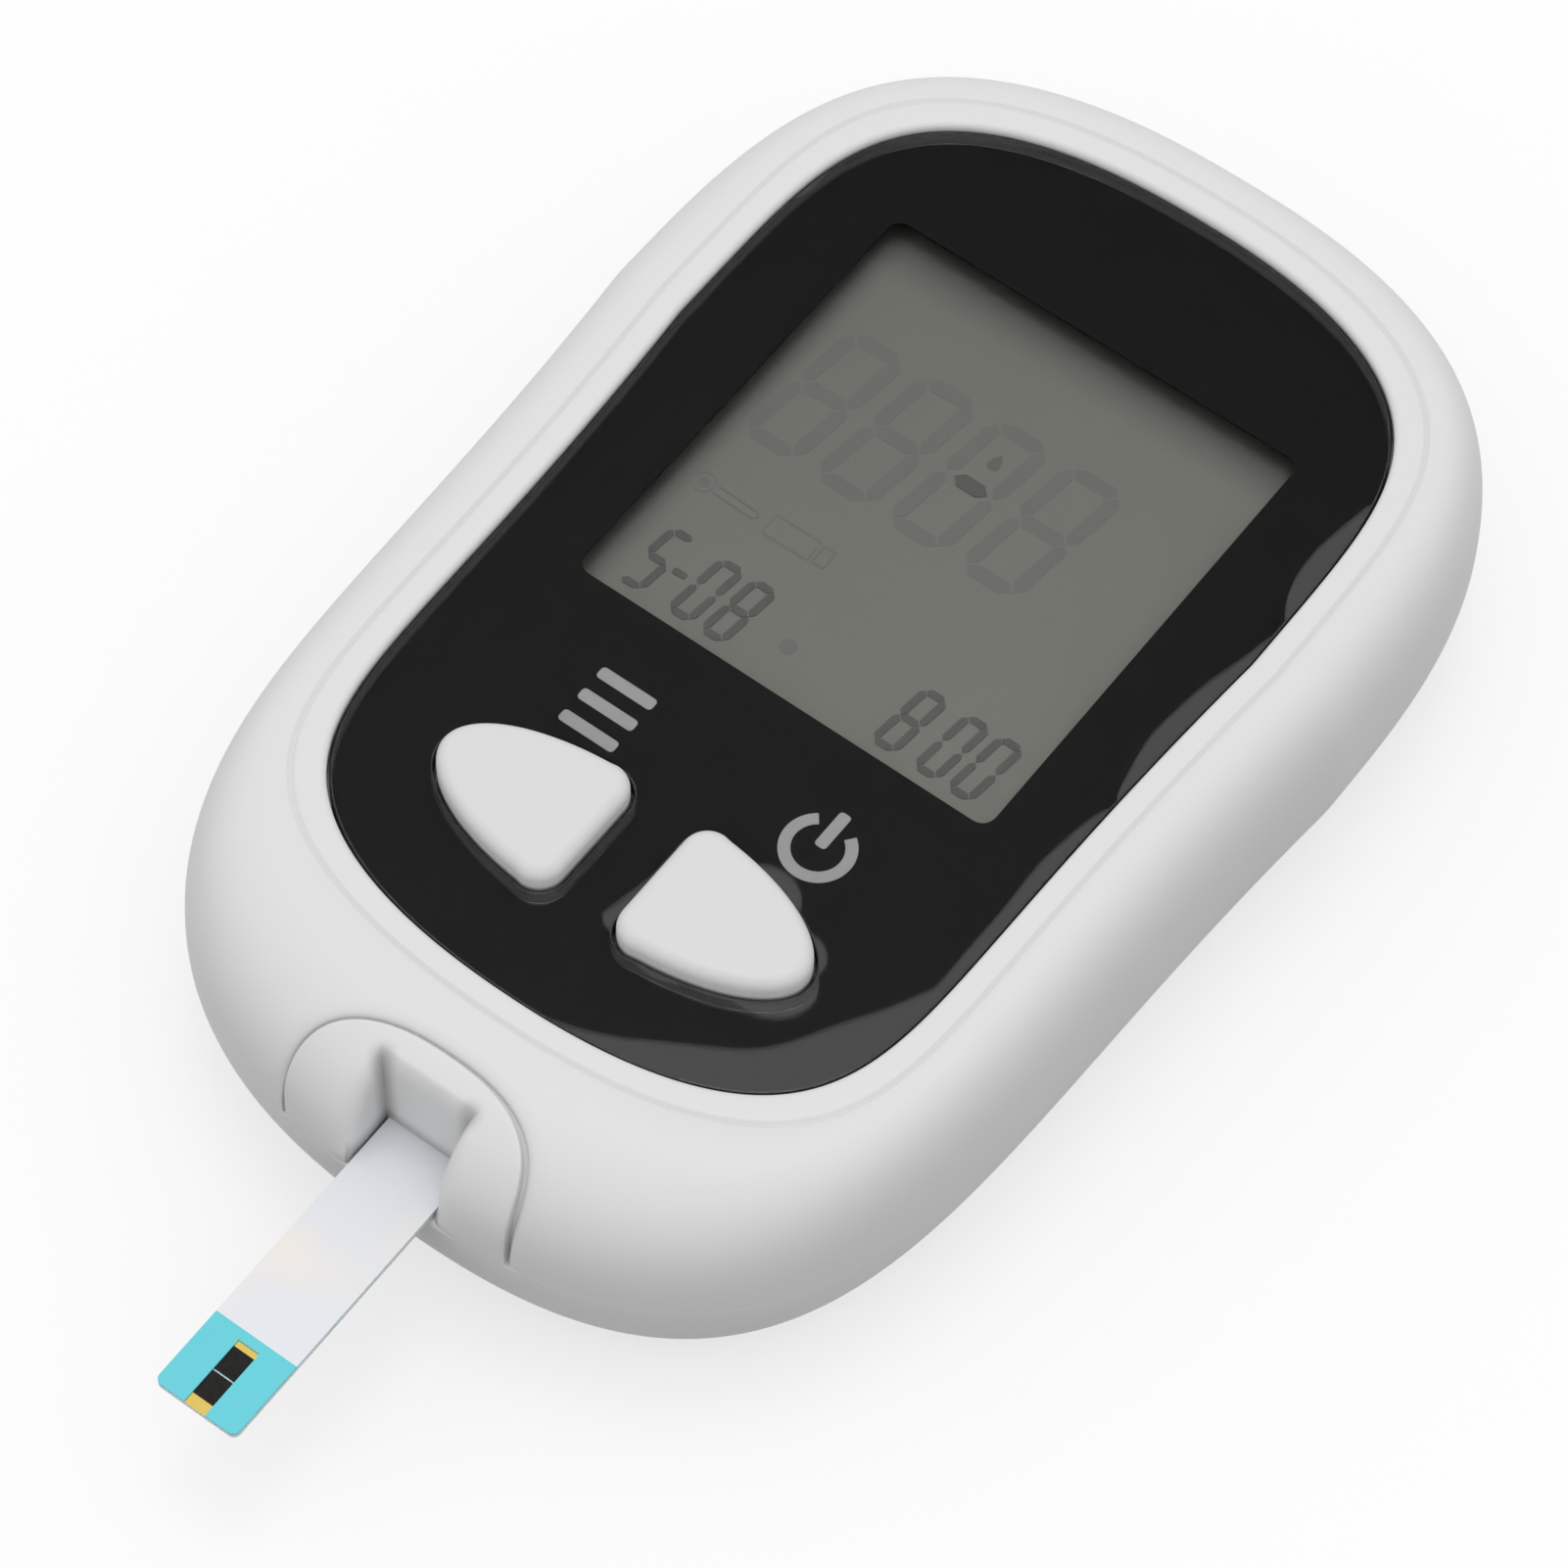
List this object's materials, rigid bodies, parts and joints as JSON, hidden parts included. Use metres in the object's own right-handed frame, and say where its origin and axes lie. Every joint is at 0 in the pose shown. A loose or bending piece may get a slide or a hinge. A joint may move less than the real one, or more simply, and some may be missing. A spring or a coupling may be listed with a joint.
{
  "type": "blood glucose meter",
  "caption": "Pocket blood glucose meter with a display behind a glossy face, bowed keys, an arched strip port holding a test strip, and a hinged battery door.",
  "frame": {"origin": "on the flat back that the meter rests on, on its centre line and under the middle of the black face", "axes": "+X across the meter, +Y along it from the strip port to the top end, +Z out of its face"},
  "size_m": [0.0584, 0.1097, 0.0194],
  "materials": {
    "housing": "fine satin moulding",
    "key": "smooth satin",
    "face_sheet": "clear, polished",
    "black_print": "black ink behind the clear sheet",
    "black_foam": "fine foam",
    "polariser": "grey-green film",
    "display_glass": "polished",
    "reflector": "satin silver film",
    "display_frame": "fine texture",
    "elastomer": "striped silicone rubber",
    "board": "green solder mask",
    "component_black": "moulded epoxy",
    "component_tan": "ceramic",
    "plunger": "moulded",
    "gold": "gold plate",
    "strip_base": "white film",
    "strip_film": "pearly white film",
    "strip_end": "cyan film",
    "reagent": "dried black coating",
    "steel": "nickel plate",
    "screw": "zinc plate"
  },
  "bodies": {
    "meter": {"front_housing": "housing", "rear_housing": "housing", "port_bezel": "housing", "face_lens": "face_sheet", "mask_film": "black_print", "lcd_gasket": "black_foam", "lcd_polariser": "polariser", "lcd_front_glass": "display_glass", "lcd_rear_glass": "display_glass", "lcd_reflector": "reflector", "lcd_frame": "display_frame", "zebra_connector": "elastomer", "circuit_board": "board", "microcontroller": "component_black", "board_components": "component_tan", "buzzer": "component_black", "left_switch": "component_black", "right_switch": "component_black", "strip_connector": "component_black", "strip_contacts": "gold", "coin_cell": "steel", "cell_contact_side": "steel", "cell_contact_top": "steel", "housing_screws": "screw", "board_screws": "screw"},
    "left_key": {"left_button": "key", "left_plunger": "plunger"},
    "right_key": {"right_button": "key", "right_plunger": "plunger"},
    "strip": {"test_strip": "strip_base", "strip_cover": "strip_film", "strip_end_cover": "strip_end", "strip_electrodes": "gold", "strip_reagent": "reagent"},
    "door": {"battery_door": "housing"}
  },
  "joints": [
    {"name": "left_key_press", "type": "slide", "parent": "meter", "child": "left_key", "axis": [0, 0, -1], "range_m": [0, 0.00035], "stiffness_N_per_m": 1500, "springref_m": -0.0002},
    {"name": "right_key_press", "type": "slide", "parent": "meter", "child": "right_key", "axis": [0, 0, -1], "range_m": [0, 0.00035], "stiffness_N_per_m": 1500, "springref_m": -0.0002},
    {"name": "strip_slide", "type": "slide", "parent": "meter", "child": "strip", "axis": [0, -1, 0], "range_m": [0, 0.03]},
    {"name": "battery_door_hinge", "type": "hinge", "parent": "meter", "child": "door", "pos_m": [0, 0.0332, 0.0013], "axis": [1, 0, 0], "range_deg": [0, 75]}
  ]
}
